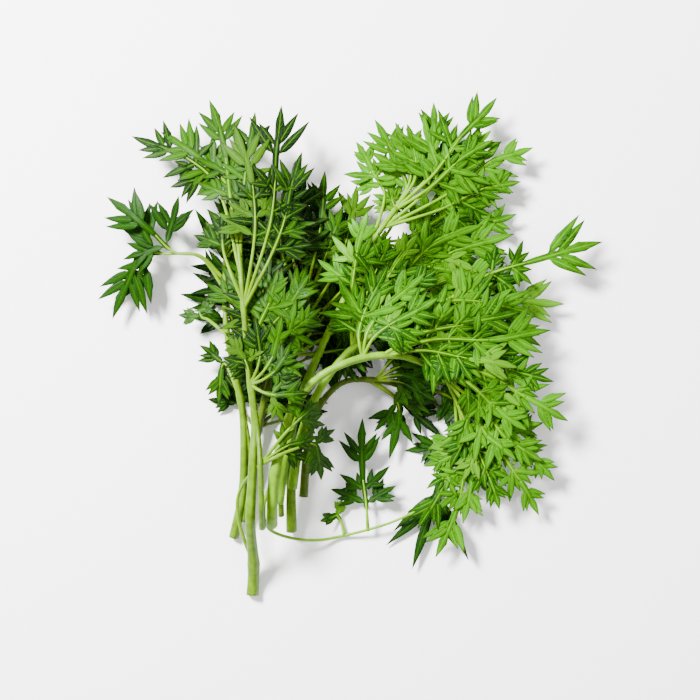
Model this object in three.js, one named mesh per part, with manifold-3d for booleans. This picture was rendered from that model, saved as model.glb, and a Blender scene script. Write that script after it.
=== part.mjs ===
// A bunch of cosmos greens lying on its side: leafy young stems with lacy, twice-divided leaves.
// Millimetres, +Z up. The origin is under the middle of the bunch, on the surface that it lies on.
//
// The bunch is laid out on a board. A place on it is [right, down] in mm from its far left corner.
// Each stem and each leaf lies in a thin wavy layer of its own, which drapes over the layers below it.
// A point is first given in its layer, as x, y and a height w off the layer's middle, and then lifted.
import * as THREE from "three";
import { mergeVertices } from "three/addons/utils/BufferGeometryUtils.js";
import Module from "manifold-3d";

const BOARD_CENTRE = [175.02, 173.751]; // the board's place that is over the origin
const BLADE = 0.65; // thickness of a leaf blade
const GAP = 1.55; // clear space between one leafy stem with its leaves and the next
const BLADE_LAYER = 2.2; // depth of the layer of a leaf
const SLACK = 0.3; // clear space between two layers of the same leafy stem
const WELD = 1e-3; // points nearer than this are one
const STEM_SIDES = 5;
const STEM_SPACING = 10; // distance between the rings of a stem
const STALK_SPACING = 9; // the same, for a leaf's stalk
const STALK_RADIUS = [1.0, 0.65]; // of a leaf's stalk, at the stem and at its first leaflets
const WING = 1.7; // half the width of the green wing along a leaflet's rib
const RACHIS_WING = 1.2; // the same, along a leaf's rachis
const REACH_SCALE = 1.25; // length of the lowest leaflets, in reaches
const LEAFLET_BASE = 3.4; // how much of the rachis a leaflet grows from
const END_LEAFLET = [0, 0.3, 0.44, 0.54]; // where the end leaflet starts, for 0 to 3 pairs of leaflets
const FIRST_LOBE = [0.1, 0.2, 0.15]; // where the first lobe of a leaflet starts, for 0 to 2 pairs of lobes
const LEVEL_PITCH = 9; // degrees that the lowest leaflets dip and the end one rises, to pass each other
const LOBE_STEP = 0.13; // share of a leaflet's length from one pair of lobes to the next
const LOBE_HALF_MOST = 2.7; // the most that a lobe is wide, halved
const REACH_SPARE = 5; // how far a layer stays at its full depth past the longest leaflets
const BLADE_FALL = 22; // the distance over which a layer thins out past its leaves
const STALK_FALL = 13; // the same, past a bare stalk
const STEM_FALL = [24, 22]; // the same, past a stem, at its cut end and at its top
const SPINE = [[130, 290], [165, 165]]; // the line on the board that the bunch lies along
const RIM_LIFT = 7; // how high the outer leaves spring off the surface
const RIM_START = 48; // distance from the spine where that begins
const RIM_LENGTH = 70; // and the distance over which it rises
const FLAT = 0.25; // what is nearer to the surface than this lies flat on it

const GREEN = { left: 0x4f8a1c, right: 0x62a81a, low: 0x2f5f12 };

// Leafy stems from the lowest to the highest. A stem's path runs from its cut end.
// Its leaves are listed from the lowest to the highest in their layer, each from the stem to its tip:
// bare is the share of it with no leaflets, pairs the number of leaflet pairs and reach their length.
const SHOOTS = [
  {
    name: "stem_under",
    green: GREEN.low,
    under: 5,
    radius: [2.3, 0.9],
    path: [[122, 246], [127, 220], [134, 192], [143, 165], [152, 142]],
    leaves: [
      { path: [[132, 198], [120, 172], [110, 148], [100, 124]], bare: 0.45, pairs: 2, reach: 20, lobes: 0 },
      { path: [[128, 214], [140, 204], [152, 192], [160, 176]], bare: 0.3, pairs: 2, reach: 18, lobes: 0 },
      { path: [[128, 216], [120, 206], [115, 194], [108, 184]], bare: 0.35, pairs: 2, reach: 13, lobes: 0 },
      { path: [[134, 192], [150, 170], [170, 150], [188, 128]], bare: 0.3, pairs: 2, reach: 27 },
      { path: [[140, 172], [160, 160], [190, 158], [222, 150]], bare: 0.3, pairs: 2, reach: 27 },
      { path: [[138, 182], [126, 156], [112, 130], [99, 102]], bare: 0.45, pairs: 2, reach: 20, lobes: 0 },
      { path: [[146, 158], [138, 130], [130, 108], [124, 88]], bare: 0.25, pairs: 2, reach: 25 },
      { path: [[152, 142], [156, 122], [158, 105], [160, 92]], bare: 0.2, pairs: 2, reach: 23 },
    ],
  },
  {
    name: "stem_lower_right",
    green: GREEN.low,
    under: 2,
    radius: [2.2, 0.9],
    path: [[151, 250], [153, 226], [158, 206], [170, 192], [186, 190], [203, 194]],
    leaves: [
      { path: [[201, 193], [224, 208], [222, 236], [210, 288]], bare: 0.5, pairs: 1, reach: 20 },
      { path: [[186, 190], [200, 200], [210, 210], [222, 219]], bare: 0.3, pairs: 1, reach: 16, lobes: 0 },
      { path: [[184, 190], [198, 200], [200, 212], [198, 231]], bare: 0.3, pairs: 1, reach: 17, lobes: 0 },
      { path: [[203, 194], [225, 192], [245, 200], [262, 207]], bare: 0.25, pairs: 2, reach: 20 },
      { path: [[188, 190], [198, 184], [208, 182], [220, 181]], bare: 0.2, pairs: 1, reach: 14 },
    ],
  },
  {
    name: "stem_outer_left",
    green: GREEN.left,
    under: 2,
    radius: [2.4, 1.0],
    path: [
      [115.5, 270.5], [120, 250], [121.5, 228], [121, 208], [118, 190], [114, 170], [112, 150], [112, 130],
    ],
    leaves: [
      { path: [[120, 200], [112, 182], [109, 190], [107.5, 202.5]], bare: 0.3, pairs: 1, reach: 14 },
      { path: [[114, 168], [104, 160], [100, 158], [98, 150], [107, 152]], bare: 0.4, pairs: 1, reach: 9 },
      {
        path: [[112, 145], [100, 128.5], [84, 126.5], [64, 129], [55.5, 160]],
        bare: 0.55, pairs: 1, reach: 23,
      },
      { path: [[112, 140], [100, 128], [86, 125.5], [72, 112], [53, 96]], bare: 0.52, pairs: 1, reach: 20 },
      { path: [[115, 172], [126, 156], [134, 140], [140, 122]], bare: 0.3, pairs: 2, reach: 19 },
      { path: [[112, 130], [116, 120], [120, 108], [122, 92]], bare: 0.2, pairs: 2, reach: 17 },
    ],
  },
  {
    name: "stem_middle",
    green: GREEN.left,
    under: 3,
    radius: [2.6, 1.0],
    path: [[145, 267], [145, 245], [145.5, 225], [146, 205], [145, 188], [148, 168], [152, 150]],
    leaves: [
      { path: [[146, 178], [160, 160], [168, 150], [180, 140]], bare: 0.35, pairs: 2, reach: 20 },
      { path: [[145, 190], [136, 176], [130, 162], [120, 150]], bare: 0.3, pairs: 2, reach: 18 },
      { path: [[148, 168], [168, 135], [175, 112], [180, 91.5]], bare: 0.35, pairs: 2, reach: 17 },
      { path: [[150, 158], [157, 130], [161, 108], [164.5, 85]], bare: 0.3, pairs: 2, reach: 17 },
      { path: [[152, 150], [146, 125], [148, 105], [151, 87]], bare: 0.25, pairs: 2, reach: 19 },
      { path: [[145, 185], [136, 165], [134, 145], [138, 122]], bare: 0.3, pairs: 2, reach: 21 },
    ],
  },
  {
    name: "stem_upper_right",
    green: GREEN.right,
    under: 3,
    radius: [2.5, 1.0],
    path: [[139, 252], [143, 226], [150, 200], [160, 175], [172, 150], [186, 122], [198, 104]],
    leaves: [
      { path: [[186, 122], [210, 122], [238, 112], [260, 107]], bare: 0.3, pairs: 3, reach: 23 },
      { path: [[180, 135], [192, 100], [186, 85], [179, 70]], bare: 0.4, pairs: 2, reach: 14 },
      { path: [[192, 113], [203, 95], [198, 80], [190, 58]], bare: 0.3, pairs: 2, reach: 15 },
      { path: [[196, 107], [205, 90], [203, 75], [199, 60]], bare: 0.3, pairs: 1, reach: 17 },
      { path: [[198, 104], [214, 88], [218, 70], [219, 50]], bare: 0.3, pairs: 2, reach: 18 },
      { path: [[192, 114], [222, 98], [246, 80], [267.5, 71.5]], bare: 0.3, pairs: 3, reach: 22 },
      { path: [[196, 106], [216, 88], [232, 66], [249, 47.5]], bare: 0.35, pairs: 2, reach: 22 },
      { path: [[172, 150], [186, 144], [204, 138], [222, 136]], bare: 0.25, pairs: 2, reach: 22 },
    ],
  },
  {
    name: "stem_right",
    green: GREEN.right,
    under: 2,
    radius: [2.4, 1.0],
    path: [[146, 244], [150, 220], [158, 198], [172, 178], [190, 165], [208, 154], [224, 150]],
    leaves: [
      { path: [[200, 159], [222, 152], [255, 150], [284, 148]], bare: 0.35, pairs: 2, reach: 21 },
      { path: [[190, 165], [208, 140], [226, 126], [257, 116]], bare: 0.3, pairs: 3, reach: 21 },
      { path: [[224, 150], [245, 137], [268, 130], [302.5, 120]], bare: 0.3, pairs: 2, reach: 13 },
      { path: [[176, 175], [186, 152], [198, 132], [208, 118]], bare: 0.35, pairs: 2, reach: 20 },
      { path: [[212, 153], [232, 155], [252, 162], [272, 172]], bare: 0.2, pairs: 2, reach: 20 },
    ],
  },
  {
    name: "stem_arching",
    green: GREEN.right,
    under: 3,
    radius: [2.7, 1.1],
    path: [
      [136, 262], [137.5, 238], [142, 218], [148, 202], [160, 188],
      [180, 179], [200, 178], [216, 184], [227, 192],
    ],
    leaves: [
      {
        path: [[138, 236], [132.5, 252], [136, 266], [160, 271.5], [190, 264.5], [208, 257]],
        bare: 1, pairs: 0, reach: 3,
      },
      { path: [[184, 267], [183, 252], [181, 236], [179, 209]], on: 0, bare: 0.25, pairs: 2, reach: 15 },
      { path: [[227, 192], [233, 225], [229, 255], [220, 281]], bare: 0.25, pairs: 3, reach: 19 },
      { path: [[222, 188], [243, 216], [260, 240], [272, 258]], bare: 0.3, pairs: 3, reach: 20 },
      { path: [[218, 185], [240, 204], [256, 222], [272.5, 231]], bare: 0.3, pairs: 2, reach: 22 },
      { path: [[206, 180], [240, 186], [262, 198], [285, 210]], bare: 0.3, pairs: 3, reach: 21 },
      { path: [[190, 178], [215, 170], [245, 170], [276, 167.5]], bare: 0.25, pairs: 3, reach: 23 },
      { path: [[181, 179], [184, 165], [196, 150], [212, 136]], bare: 0.25, pairs: 2, reach: 22 },
    ],
  },
  {
    name: "stem_front_left",
    green: GREEN.left,
    under: 2,
    radius: [3.0, 1.0],
    path: [
      [125, 300], [126, 283], [125.5, 262], [127, 235], [128, 210], [125.5, 185], [123.5, 160], [121, 130],
    ],
    leaves: [
      {
        path: [[126, 283], [119.5, 262], [119.5, 246], [131, 231], [146, 221], [160, 218]],
        bare: 0.7, pairs: 1, reach: 12,
      },
      { path: [[125, 178], [136, 164], [147, 152], [156, 138]], bare: 0.3, pairs: 2, reach: 19 },
      { path: [[126, 192], [134, 184], [140, 172], [142, 158]], bare: 0.3, pairs: 1, reach: 18 },
      { path: [[123, 152], [114, 130], [112, 118], [111, 107]], bare: 0.4, pairs: 1, reach: 14 },
      { path: [[122, 140], [110, 96], [92, 78], [66, 64]], bare: 0.4, pairs: 2, reach: 19 },
      { path: [[121, 130], [116, 100], [112.5, 75], [108.5, 47.5]], bare: 0.3, pairs: 2, reach: 17 },
      { path: [[123, 155], [134, 122], [138, 92], [137, 52]], bare: 0.35, pairs: 3, reach: 20 },
    ],
  },
];

// Every stem and leaf in its place in the pile, from the lowest to the highest.
const LAYERS = [];

// A repeatable draw for a key, from -spread to spread.
function vary(key, spread) {
  const swing = Math.sin(key * 12.9898 + 4.137) * 43758.5453;
  return (2 * (swing - Math.floor(swing)) - 1) * spread;
}

const mix = (a, b, share) => a + (b - a) * share;
const clamp01 = (value) => Math.min(1, Math.max(0, value));
const radians = (degrees) => (degrees * Math.PI) / 180;

function smooth(value) {
  const share = clamp01(value);
  return share * share * (3 - 2 * share);
}

// Vectors are plain [x, y, w] lists.
const plus = (a, b, share = 1) => [a[0] + b[0] * share, a[1] + b[1] * share, a[2] + b[2] * share];

function turned(a, b, angle) {
  return plus([a[0] * Math.cos(angle), a[1] * Math.cos(angle), a[2] * Math.cos(angle)], b, Math.sin(angle));
}

function unit(a) {
  const length = Math.hypot(...a);
  return [a[0] / length, a[1] / length, a[2] / length];
}

function onTable([right, down]) {
  return new THREE.Vector3(right - BOARD_CENTRE[0], BOARD_CENTRE[1] - down, 0);
}

// A smooth curve through places on the board, in x and y.
function pathThrough(places) {
  return new THREE.CatmullRomCurve3(places.map(onTable), false, "catmullrom", 0.5);
}

// How far a place is from a straight line, and at what share of it.
function nearestOn(from, to, x, y) {
  const dx = to.x - from.x;
  const dy = to.y - from.y;
  const share = clamp01(((x - from.x) * dx + (y - from.y) * dy) / (dx * dx + dy * dy));
  return { share, away: Math.hypot(x - from.x - dx * share, y - from.y - dy * share) };
}

// The stretches of a path that spread a layer: ends, depth, half width and fall at each end.
function stretches(curve, steps, facts) {
  const found = [];
  for (let i = 0; i < steps; i += 1) {
    const from = curve.getPoint(i / steps);
    const to = curve.getPoint((i + 1) / steps);
    found.push({ from, to, start: facts(i / steps), end: facts((i + 1) / steps) });
  }
  return found;
}

function stemStretches(shoot) {
  return stretches(shoot.curve, 14, (share) => {
    const radius = mix(...shoot.radius, share);
    const fall = mix(...STEM_FALL, smooth(share * 1.3 - 0.3));
    return { depth: 2 * radius + SLACK, half: radius + 2, fall };
  });
}

function leafStretches(leaf) {
  return stretches(leaf.curve, 10, (share) => {
    const spread = smooth((share - leaf.bare + 0.12) / 0.15);
    return {
      depth: mix(2 * STALK_RADIUS[0], BLADE_LAYER, spread) + SLACK,
      half: mix(2, leaf.reach * REACH_SCALE * 0.9 + REACH_SPARE, spread),
      fall: mix(STALK_FALL, BLADE_FALL, spread),
    };
  });
}

// How deep a stretch makes its layer at a place, and how much of the layer there is there.
function stretchCover({ from, to, start, end }, x, y) {
  const { share, away } = nearestOn(from, to, x, y);
  const cover = 1 - smooth((away - mix(start.half, end.half, share)) / mix(start.fall, end.fall, share));
  return { depth: mix(start.depth, end.depth, share) * cover, cover };
}

function layerCover(layer, x, y) {
  const most = { depth: 0, cover: 0 };
  for (const stretch of layer.stretches) {
    const { depth, cover } = stretchCover(stretch, x, y);
    most.depth = Math.max(most.depth, depth);
    most.cover = Math.max(most.cover, cover);
  }
  return most;
}

function rimLift(x, y) {
  const away = nearestOn(...SPINE.map(onTable), x, y).away;
  return RIM_LIFT * smooth((away - RIM_START) / RIM_LENGTH);
}

// The height of a point of a layer: over the layers below it, with clear space between two leafy stems.
function heightIn(layer, [x, y, w], spare) {
  let base = rimLift(x, y) - SLACK / 2;
  let bare = 1;
  for (let i = 0; i < layer.order; i += 1) {
    const { depth, cover } = layerCover(LAYERS[i], x, y);
    base += depth;
    bare *= 1 - cover;
    if (LAYERS[i + 1].shoot !== LAYERS[i].shoot) {
      base += GAP * (1 - bare);
      bare = 1;
    }
  }
  const depth = layerCover(layer, x, y).depth;
  const room = Math.max(0.1, (depth - SLACK) / 2 - spare);
  return base + depth / 2 + room * Math.tanh(w / room);
}

function lifted(layer, point, spare = BLADE / 2) {
  return new THREE.Vector3(point[0], point[1], heightIn(layer, point, spare));
}

function settled(height) {
  return height < FLAT ? 0 : height;
}

// A closed tube through rings of points round a line, as thick as a round one. Its lowest side is level.
function tube(centres, radii, sides) {
  const positions = [];
  const index = [];
  centres.forEach((centre, i) => {
    const ahead = centres[Math.min(i + 1, centres.length - 1)];
    const behind = centres[Math.max(i - 1, 0)];
    const along = new THREE.Vector3().subVectors(ahead, behind).normalize();
    const across = new THREE.Vector3(along.y, -along.x, 0).normalize();
    const up = new THREE.Vector3().crossVectors(across, along);
    for (let k = 0; k < sides; k += 1) {
      const angle = ((k + 0.5) / sides - 0.25) * 2 * Math.PI;
      const corner = radii[i] * Math.sqrt((2 * Math.PI) / (sides * Math.sin((2 * Math.PI) / sides)));
      const point = centre.clone();
      point.addScaledVector(across, Math.cos(angle) * corner);
      point.addScaledVector(up, Math.sin(angle) * corner);
      positions.push(point.x, point.y, settled(point.z));
    }
  });
  const last = (centres.length - 1) * sides;
  for (let k = 0; k < sides; k += 1) {
    const next = (k + 1) % sides;
    for (let ring = 0; ring < last; ring += sides) {
      index.push(ring + k, ring + sides + k, ring + sides + next);
      index.push(ring + k, ring + sides + next, ring + next);
    }
    if (k > 1) index.push(0, k - 1, k, last, last + k, last + k - 1);
  }
  return closedGeometry(positions, index);
}

function closedGeometry(positions, index) {
  const geometry = new THREE.BufferGeometry();
  geometry.setAttribute("position", new THREE.Float32BufferAttribute(positions, 3));
  geometry.setIndex(index);
  return geometry;
}

// A closed body round a sheet of triangles. Each point's thickness is how far the two faces are from it.
function thickened(points, thickness, triangles) {
  const sheet = closedGeometry(points.flatMap((p) => [p.x, p.y, p.z]), triangles.flat());
  sheet.computeVertexNormals();
  const normals = sheet.getAttribute("normal");
  const count = points.length;
  const positions = [];
  for (const side of [1, -1]) {
    points.forEach((p, i) => {
      const normal = new THREE.Vector3().fromBufferAttribute(normals, i);
      const moved = p.clone().addScaledVector(normal, side * thickness[i]);
      positions.push(moved.x, moved.y, settled(moved.z));
    });
  }
  const index = [];
  const edges = new Set(triangles.flatMap(([a, b, c]) => [`${a} ${b}`, `${b} ${c}`, `${c} ${a}`]));
  for (const [a, b, c] of triangles) {
    index.push(a, b, c, count + a, count + c, count + b);
    for (const [from, to] of [[a, b], [b, c], [c, a]]) {
      if (edges.has(`${to} ${from}`)) continue;
      index.push(from, count + from, count + to, from, count + to, to);
    }
  }
  return closedGeometry(positions, index);
}

// A leaflet's own frame: its root, the way it grows, its left side and its upper face.
function leafletFrame(root, forward, left, angle, roll, pitch) {
  const flatLeft = turned(left, forward, -angle);
  const grown = turned(forward, left, angle);
  const face = unit(cross(grown, flatLeft));
  const rolledLeft = turned(flatLeft, face, roll);
  const rolledFace = turned(face, flatLeft, -roll);
  const pitchedForward = turned(grown, rolledFace, pitch);
  const pitchedFace = turned(rolledFace, grown, -pitch);
  return { root, left: rolledLeft, forward: pitchedForward, face: pitchedFace };
}

function cross(a, b) {
  return [a[1] * b[2] - a[2] * b[1], a[2] * b[0] - a[0] * b[2], a[0] * b[1] - a[1] * b[0]];
}

function inFrame(frame, along, side, raise = 0) {
  return plus(plus(plus(frame.root, frame.forward, along), frame.left, side), frame.face, raise);
}

// A sheet that is being drawn in a leaf's layer.
class Sheet {
  constructor(leaf) {
    this.leaf = leaf;
    this.points = [];
    this.thickness = [];
    this.triangles = [];
  }

  put(point, thickness) {
    this.thickness.push(thickness);
    return this.points.push(point) - 1;
  }

  add(point) {
    return this.put(lifted(this.leaf, point), BLADE / 2);
  }

  // The two points of a rib's wing, on the left and on the right of a place on it.
  station(place, left, half) {
    return [this.add(plus(place, left, half)), this.add(plus(place, left, -half))];
  }

  // The two points of a stalk's sheet, which is as thick as the stalk.
  stalkStation(centre, left, radius) {
    const place = (side) => centre.clone().addScaledVector(left, side);
    return [this.put(place(radius), radius * 0.9), this.put(place(-radius), radius * 0.9)];
  }

  strip(from, to) {
    this.triangles.push([from[0], from[1], to[1]], [from[0], to[1], to[0]]);
  }

  // A lance-shaped lobe between two points of a rib's wing.
  lobe(first, last, frame, length) {
    const half = Math.min(LOBE_HALF_MOST, 0.075 * length + 1);
    const right = this.add(inFrame(frame, length * 0.42, -half));
    const tip = this.add(inFrame(frame, length, 0, -length * 0.04));
    const left = this.add(inFrame(frame, length * 0.42, half));
    this.triangles.push([first, right, left], [right, tip, left], [first, left, last]);
  }
}

// One leaflet on its two base points: a winged rib with pairs of lobes cut to it, and a lobe at its end.
function leaflet(sheet, base, frame, length, lobePairs, key) {
  const first = FIRST_LOBE[lobePairs];
  const bend = vary(key + 0.7, 0.006);
  const ribPlace = (share) => inFrame(frame, share * length, bend * (share * length) ** 2);
  const own = (share, angle, roll, pitch) =>
    leafletFrame(ribPlace(share), frame.forward, frame.left, radians(angle), radians(roll), radians(pitch));
  let last = sheet.station(ribPlace(first), frame.left, WING);
  sheet.strip(base, last);
  for (let i = 0; i < lobePairs; i += 1) {
    const start = first + LOBE_STEP * i;
    const next = sheet.station(ribPlace(start + LOBE_STEP), frame.left, WING);
    sheet.strip(last, next);
    for (const side of [1, -1]) {
      const seed = key * 7 + i * 2 + side;
      const angle = side * (40 - 4 * i + vary(seed, 6));
      const lobeFrame = own(start + LOBE_STEP * 0.4, angle, vary(seed + 0.3, 8), vary(seed + 0.6, 2));
      const lobeLength = length * (0.6 - 0.1 * i) * (1 + vary(seed + 0.9, 0.16));
      if (side > 0) sheet.lobe(next[0], last[0], lobeFrame, lobeLength);
      else sheet.lobe(last[1], next[1], lobeFrame, lobeLength);
    }
    last = next;
  }
  const endShare = first + LOBE_STEP * lobePairs;
  const endFrame = own(endShare, (bend * length * 180) / Math.PI, vary(key + 0.2, 16), 0);
  sheet.lobe(last[1], last[0], endFrame, length * (1 - endShare));
}

// The frame on a leaf's rachis, rolled a little to one side.
function rachisFrame(leaf, share) {
  const point = leaf.curve.getPoint(share);
  const ahead = leaf.curve.getPoint(Math.min(1, share + 0.01));
  const behind = leaf.curve.getPoint(Math.max(0, share - 0.01));
  const forward = unit([ahead.x - behind.x, ahead.y - behind.y, 0]);
  const left = turned([-forward[1], forward[0], 0], [0, 0, 1], leaf.roll);
  return { root: [point.x, point.y, 0], forward, left, face: cross(forward, left) };
}

// Evenly spaced shares of a path, close enough for it to follow the layers under it.
function ringShares(curve, end, spacing) {
  const count = Math.max(3, Math.ceil((curve.getLength() * end) / spacing));
  return Array.from({ length: count + 1 }, (_, i) => (end * i) / count);
}

// Adds a leaf's bare stalk to its sheet, and gives the two points that it ends on.
// It climbs from inside what it grows on to the leaf's own layer.
function growStalk(sheet, leaf, parent) {
  const end = leaf.pairs ? leaf.bare : 1;
  let last;
  for (const share of ringShares(leaf.curve, end, STALK_SPACING)) {
    const radius = mix(...STALK_RADIUS, share / end);
    const frame = rachisFrame(leaf, share);
    const centre = lifted(leaf, frame.root, radius);
    const start = heightIn(parent, [centre.x, centre.y, 0], 0);
    const near = layerCover(parent, centre.x, centre.y).cover;
    centre.z = mix(centre.z, start, near * (1 - smooth(share / Math.min(end, 0.5))));
    const left = new THREE.Vector3(-frame.forward[1], frame.forward[0], 0);
    const next = sheet.stalkStation(centre, left, radius);
    if (last) sheet.strip(last, next);
    last = next;
  }
  return last;
}

// A leaf from one sheet: its stalk, a winged rachis with pairs of leaflets, and a leaflet at its end.
function leafSolid(leaf, parent) {
  const sheet = new Sheet(leaf);
  const stalkEnd = growStalk(sheet, leaf, parent);
  if (leaf.pairs) growGreen(sheet, leaf, stalkEnd);
  return thickened(sheet.points, sheet.thickness, sheet.triangles);
}

// Adds a leaf's rachis and leaflets to its sheet, from the two points that its stalk ends on.
function growGreen(sheet, leaf, stalkEnd) {
  const length = leaf.curve.getLength();
  const green = (share) => mix(leaf.bare, 1, share);
  const wingAt = (share, half) => {
    const frame = rachisFrame(leaf, share);
    return sheet.station(frame.root, frame.left, half);
  };
  const endShare = END_LEAFLET[leaf.pairs];
  let last = stalkEnd;
  for (let i = 0; i < leaf.pairs; i += 1) {
    const start = green((endShare * i) / leaf.pairs) + 2 / length;
    const near = wingAt(start, RACHIS_WING);
    const far = wingAt(start + LEAFLET_BASE / length, RACHIS_WING);
    sheet.strip(last, near);
    sheet.strip(near, far);
    for (const side of [1, -1]) {
      const key = leaf.key * 31 + i * 5 + side;
      const rachis = rachisFrame(leaf, start + LEAFLET_BASE / (2 * length));
      const angle = side * radians(60 - 7 * i + vary(key + 0.1, 5));
      const roll = radians(vary(key + 0.4, 5));
      const pitch = radians(mix(-LEVEL_PITCH, LEVEL_PITCH, i / leaf.pairs) + vary(key + 0.2, 1));
      const frame = leafletFrame(rachis.root, rachis.forward, rachis.left, angle, roll, pitch);
      const reach = leaf.reach * REACH_SCALE * (1 - 0.14 * i) * (1 + vary(key + 0.5, 0.12));
      const base = side > 0 ? [near[0], far[0]] : [far[1], near[1]];
      leaflet(sheet, base, frame, reach, i === leaf.pairs - 1 && i > 0 ? 0 : 1, key);
    }
    last = far;
  }
  const { root } = rachisFrame(leaf, green(endShare));
  const tip = leaf.curve.getPoint(1);
  const forward = unit([tip.x - root[0], tip.y - root[1], 0]);
  const left = turned([-forward[1], forward[0], 0], [0, 0, 1], leaf.roll);
  const frame = leafletFrame(root, forward, left, 0, 0, radians(LEVEL_PITCH));
  const end = sheet.station(root, left, RACHIS_WING);
  sheet.strip(last, end);
  const endLength = Math.hypot(tip.x - root[0], tip.y - root[1]);
  leaflet(sheet, end, frame, endLength, leaf.lobes ?? 1, leaf.key * 31 + 17);
}

function stemSolid(stem, radius) {
  const shares = ringShares(stem.curve, 1, STEM_SPACING);
  const centres = shares.map((share) => {
    const point = stem.curve.getPoint(share);
    return lifted(stem, [point.x, point.y, 0]);
  });
  return tube(centres, shares.map((share) => mix(...radius, share)), STEM_SIDES);
}

const wasm = await Module();
wasm.setup();

function solid(geometry) {
  const merged = mergeVertices(geometry, WELD);
  const mesh = { numProp: 3, vertProperties: merged.attributes.position.array, triVerts: merged.index.array };
  return new wasm.Manifold(new wasm.Mesh({ ...mesh, triVerts: new Uint32Array(mesh.triVerts) }));
}

// The largest body of a solid, so that loose scraps are dropped and sealed hollows are filled.
function largestBody(whole) {
  return whole.decompose().reduce((a, b) => (a.volume() > b.volume() ? a : b));
}

function geometryOf(body) {
  const mesh = body.getMesh();
  const geometry = closedGeometry(Array.from(mesh.vertProperties), Array.from(mesh.triVerts));
  return mergeVertices(geometry, WELD);
}

// The shoot's stem and leaves joined in one body.
function fused(geometries) {
  const joined = geometries.map(solid).reduce((whole, piece) => whole.add(piece));
  return geometryOf(largestBody(solid(geometryOf(largestBody(joined)))));
}

SHOOTS.forEach((shoot, order) => {
  shoot.curve = pathThrough(shoot.path);
  const stem = { shoot: shoot.name, curve: shoot.curve, stretches: stemStretches(shoot) };
  shoot.stem = stem;
  shoot.leaves.forEach((leaf, i) => {
    leaf.shoot = shoot.name;
    leaf.curve = pathThrough(leaf.path);
    leaf.key = order * 10 + i + 1;
    leaf.roll = radians(vary(leaf.key, 5));
    leaf.stretches = leafStretches(leaf);
  });
  LAYERS.push(...shoot.leaves.slice(0, shoot.under), stem, ...shoot.leaves.slice(shoot.under));
});
LAYERS.forEach((layer, i) => {
  layer.order = i;
});

const bunch = new THREE.Group();
for (const shoot of SHOOTS) {
  const leaves = shoot.leaves.map((leaf) => leafSolid(leaf, shoot.leaves[leaf.on] ?? shoot.stem));
  const solids = [stemSolid(shoot.stem, shoot.radius), ...leaves];
  const material = new THREE.MeshStandardMaterial({ color: shoot.green, roughness: 0.55, metalness: 0 });
  const mesh = new THREE.Mesh(fused(solids), material);
  mesh.name = shoot.name;
  bunch.add(mesh);
}

export default bunch;
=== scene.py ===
import math

import bpy
import numpy as np
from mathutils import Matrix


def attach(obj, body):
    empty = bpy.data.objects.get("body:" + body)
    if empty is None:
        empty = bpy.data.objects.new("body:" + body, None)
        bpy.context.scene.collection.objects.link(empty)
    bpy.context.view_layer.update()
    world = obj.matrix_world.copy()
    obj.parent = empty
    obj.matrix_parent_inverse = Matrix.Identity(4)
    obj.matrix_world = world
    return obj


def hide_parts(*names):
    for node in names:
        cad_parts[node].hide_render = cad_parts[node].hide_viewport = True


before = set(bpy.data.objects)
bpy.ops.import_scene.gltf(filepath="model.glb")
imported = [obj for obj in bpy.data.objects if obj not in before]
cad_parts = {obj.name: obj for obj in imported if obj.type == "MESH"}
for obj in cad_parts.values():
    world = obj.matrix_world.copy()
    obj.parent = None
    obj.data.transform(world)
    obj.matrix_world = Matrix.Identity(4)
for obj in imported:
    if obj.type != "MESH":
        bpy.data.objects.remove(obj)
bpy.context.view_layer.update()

# The plan is drawn on a board seen from above, with x to the right and y towards the cut stems.
# The board's place of the frame's origin, and of the middle of the picture.
BOARD_CENTRE = (175.02, 173.751)
PICTURE_CENTRE = (174.91, 174.97)

# The camera. Its lens and sensor are in millimetres. The picture's width at its level, and the
# nearest thing that it shows, are in metres.
LENS = 85
SENSOR = 36
PICTURE_WIDTH = 0.35
PICTURE_LEVEL = 0.02
NEAREST = 0.01

METRE = 1000
LENGTH_STEPS = 200
WAY_STEP = 0.01

# The numbers behind the seeded draws.
DRAW_STEP = 12.9898
DRAW_START = 4.137
DRAW_SIZE = 43758.5453

# The pile. Every stem and leaf has a layer of its own, and the gap keeps leafy stems apart. A layer is
# thicker than what lies in it by the slack, and keeps some of it spare for the sheet's own thickness.
GAP = 1.55
BLADE_LAYER = 2.2
SLACK = 0.3
SPARE = 0.35
LEAST_ROOM = 0.1
LOWEST = 0.2

# How wide a layer lies about its path, and over what distance it falls away beyond that. A leaf's layer
# spreads from its stalk's width to its blade's about where the bare share of its path ends.
STEM_MARGIN = 2
STALK_HALF = 2
BLADE_SHARE = 0.9
REACH_SPARE = 5
STEM_FALL = (24, 22)
STEM_FALL_START = 0.3
STALK_FALL = 13
BLADE_FALL = 22
SPREAD_LEAD = 0.12
SPREAD_LENGTH = 0.15
STEM_ROOM_STEPS = 14
LEAF_ROOM_STEPS = 10

# The bunch rises towards its rim, away from a spine along its middle.
SPINE = ((130, 290), (165, 165))
RIM_LIFT = 7
RIM_START = 48
RIM_LENGTH = 70

# Stems and stalks. Swellings are where leaves leave a stem. A radius of two values is for start and end.
STEM_SPACING = 2.0
STEM_SIDES = 20
STEM_GROOVE = 0.05
STEM_FULLNESS = 1.04
NODE_SWELLING = 0.14
NODE_LENGTH = 3.5
SIDE_STEM_SIDES = 14
STALK_SPACING = 1.6
STALK_RADIUS = (1.0, 0.65)
STALK_SIDES = 10
STALK_RIDGES = 3
STALK_GROOVE = 0.06
CLIMB_MOST = 0.5
RACHIS_END = 0.38

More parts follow.
